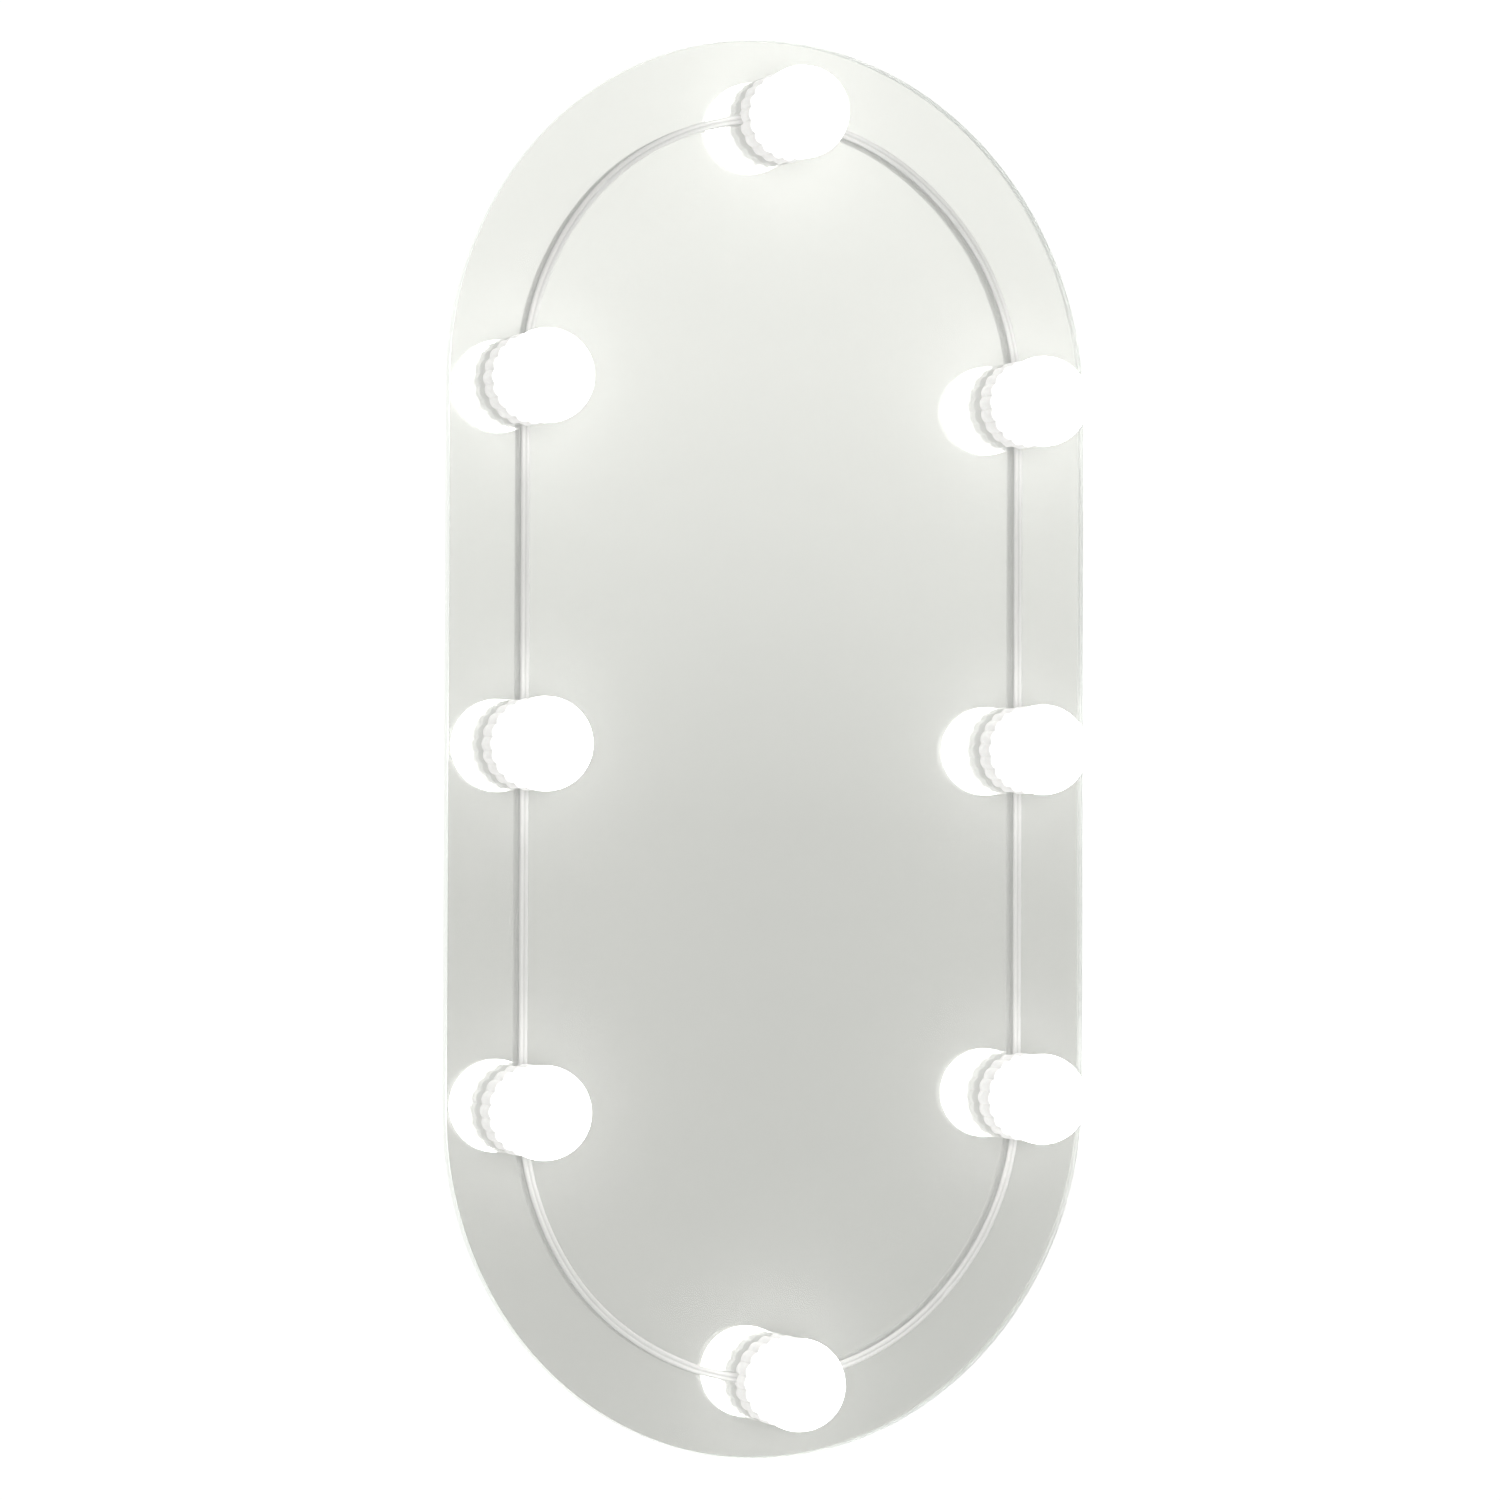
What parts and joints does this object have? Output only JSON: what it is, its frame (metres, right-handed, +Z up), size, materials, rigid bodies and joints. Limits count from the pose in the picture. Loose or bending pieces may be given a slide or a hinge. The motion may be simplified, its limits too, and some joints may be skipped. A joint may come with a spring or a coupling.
{
  "type": "lighted vanity mirror",
  "caption": "Frameless obround wall mirror with opal globe lamps on twist-lock ribbed bases, joined round its edge by a loop of flat twin lead.",
  "frame": {"origin": "on the wall's face, behind the centre of the mirror plate", "axes": "+Z up, +X to the right seen from the front, the glass faces -Y and the wall is at Y = 0"},
  "size_m": [0.4, 0.0743, 0.8],
  "materials": {
    "clear_glass": "polished",
    "silvering": "mirror front, grey painted back",
    "lead_sheath": "satin",
    "foam_tape": "matte",
    "white_plastic": "satin gloss",
    "lamp_board": "satin",
    "opal_plastic": "frosted, lit from inside",
    "zinc_steel": "zinc plated",
    "grey_rubber": "matte",
    "black_plastic": "satin",
    "black_rubber": "matte"
  },
  "bodies": {
    "root": {"mirror_glass": "clear_glass", "silver_backing": "silvering", "lead_1_to_2": "lead_sheath", "lead_2_to_3": "lead_sheath", "lead_3_to_4": "lead_sheath", "lead_4_to_5": "lead_sheath", "lead_5_to_6": "lead_sheath", "lead_6_to_7": "lead_sheath", "lead_7_to_8": "lead_sheath", "lead_8_to_1": "lead_sheath", "lamp_1_pad": "foam_tape", "lamp_1_base": "white_plastic", "lamp_1_board": "lamp_board", "lamp_2_pad": "foam_tape", "lamp_2_base": "white_plastic", "lamp_2_board": "lamp_board", "lamp_3_pad": "foam_tape", "lamp_3_base": "white_plastic", "lamp_3_board": "lamp_board", "lamp_4_pad": "foam_tape", "lamp_4_base": "white_plastic", "lamp_4_board": "lamp_board", "lamp_5_pad": "foam_tape", "lamp_5_base": "white_plastic", "lamp_5_board": "lamp_board", "lamp_6_pad": "foam_tape", "lamp_6_base": "white_plastic", "lamp_6_board": "lamp_board", "lamp_7_pad": "foam_tape", "lamp_7_base": "white_plastic", "lamp_7_board": "lamp_board", "lamp_8_pad": "foam_tape", "lamp_8_base": "white_plastic", "lamp_8_board": "lamp_board", "hanger_left": "zinc_steel", "hanger_tape_left": "foam_tape", "bumper_left": "grey_rubber", "hanger_right": "zinc_steel", "hanger_tape_right": "foam_tape", "bumper_right": "grey_rubber", "inlet_cover": "white_plastic", "dc_socket": "black_plastic", "feed_lead": "lead_sheath", "feed_grommet": "black_rubber"},
    "twist_1": {"lamp_1_collar": "white_plastic", "lamp_1_globe": "opal_plastic"},
    "twist_2": {"lamp_2_collar": "white_plastic", "lamp_2_globe": "opal_plastic"},
    "twist_3": {"lamp_3_collar": "white_plastic", "lamp_3_globe": "opal_plastic"},
    "twist_4": {"lamp_4_collar": "white_plastic", "lamp_4_globe": "opal_plastic"},
    "twist_5": {"lamp_5_collar": "white_plastic", "lamp_5_globe": "opal_plastic"},
    "twist_6": {"lamp_6_collar": "white_plastic", "lamp_6_globe": "opal_plastic"},
    "twist_7": {"lamp_7_collar": "white_plastic", "lamp_7_globe": "opal_plastic"},
    "twist_8": {"lamp_8_collar": "white_plastic", "lamp_8_globe": "opal_plastic"}
  },
  "joints": [
    {"name": "lamp_1_twist", "type": "hinge", "parent": "root", "child": "twist_1", "pos_m": [0, -0.0258, 0.355], "axis": [0, -1, 0], "range_deg": [0, 36]},
    {"name": "lamp_2_twist", "type": "hinge", "parent": "root", "child": "twist_2", "pos_m": [0.155, -0.0258, 0.2], "axis": [0, -1, 0], "range_deg": [0, 36]},
    {"name": "lamp_3_twist", "type": "hinge", "parent": "root", "child": "twist_3", "pos_m": [0.155, -0.0258, 0], "axis": [0, -1, 0], "range_deg": [0, 36]},
    {"name": "lamp_4_twist", "type": "hinge", "parent": "root", "child": "twist_4", "pos_m": [0.155, -0.0258, -0.2], "axis": [0, -1, 0], "range_deg": [0, 36]},
    {"name": "lamp_5_twist", "type": "hinge", "parent": "root", "child": "twist_5", "pos_m": [0, -0.0258, -0.355], "axis": [0, -1, 0], "range_deg": [0, 36]},
    {"name": "lamp_6_twist", "type": "hinge", "parent": "root", "child": "twist_6", "pos_m": [-0.155, -0.0258, -0.2], "axis": [0, -1, 0], "range_deg": [0, 36]},
    {"name": "lamp_7_twist", "type": "hinge", "parent": "root", "child": "twist_7", "pos_m": [-0.155, -0.0258, 0], "axis": [0, -1, 0], "range_deg": [0, 36]},
    {"name": "lamp_8_twist", "type": "hinge", "parent": "root", "child": "twist_8", "pos_m": [-0.155, -0.0258, 0.2], "axis": [0, -1, 0], "range_deg": [0, 36]}
  ]
}
